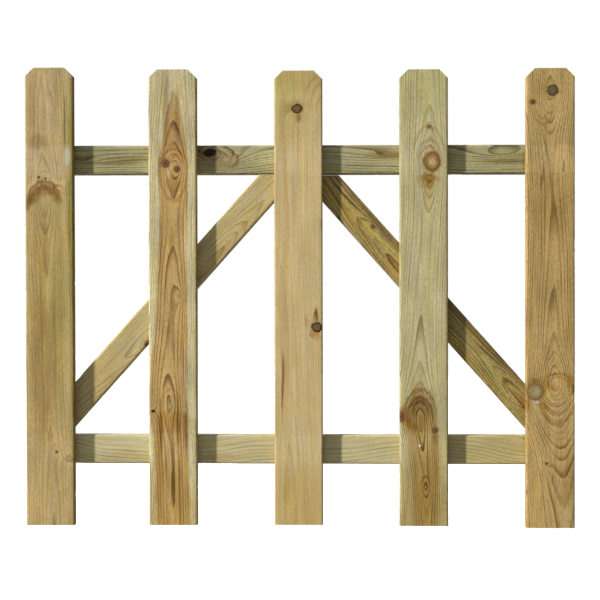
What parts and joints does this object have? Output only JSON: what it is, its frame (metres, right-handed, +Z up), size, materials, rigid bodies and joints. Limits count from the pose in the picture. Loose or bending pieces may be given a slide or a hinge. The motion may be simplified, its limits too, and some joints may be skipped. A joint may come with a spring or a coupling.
{
  "type": "garden gate",
  "caption": "Low picket garden gate leaf: upright dog-eared pine pales screwed to two level rails with a pair of sloping braces meeting under the top rail.",
  "frame": {"origin": "under the middle of the gate, at the level of the lowest pale's foot, halfway between front and back", "axes": "+X across the gate from the left pale to the right one seen from the front, +Y from the pales at the front to the rails at the back, +Z up"},
  "size_m": [1.0021, 0.048, 0.8386],
  "materials": {
    "pale_pine": "planed pressure-treated pine, matt",
    "rail_pine": "planed pressure-treated pine, matt",
    "brace_pine": "planed pressure-treated pine, matt",
    "screw_zinc": "zinc plated, dulled"
  },
  "bodies": {
    "root": {"pale_1": "pale_pine", "pale_2": "pale_pine", "pale_3": "pale_pine", "pale_4": "pale_pine", "pale_5": "pale_pine", "top_rail": "rail_pine", "bottom_rail": "rail_pine", "left_brace": "brace_pine", "right_brace": "brace_pine", "top_rail_pale_1_screws": "screw_zinc", "top_rail_pale_2_screws": "screw_zinc", "top_rail_pale_3_screws": "screw_zinc", "top_rail_pale_4_screws": "screw_zinc", "top_rail_pale_5_screws": "screw_zinc", "bottom_rail_pale_1_screws": "screw_zinc", "bottom_rail_pale_2_screws": "screw_zinc", "bottom_rail_pale_3_screws": "screw_zinc", "bottom_rail_pale_4_screws": "screw_zinc", "bottom_rail_pale_5_screws": "screw_zinc", "left_brace_pale_1_screws": "screw_zinc", "left_brace_pale_2_screws": "screw_zinc", "left_brace_pale_3_screws": "screw_zinc", "right_brace_pale_5_screws": "screw_zinc", "right_brace_pale_4_screws": "screw_zinc", "right_brace_pale_3_screws": "screw_zinc"}
  },
  "joints": []
}
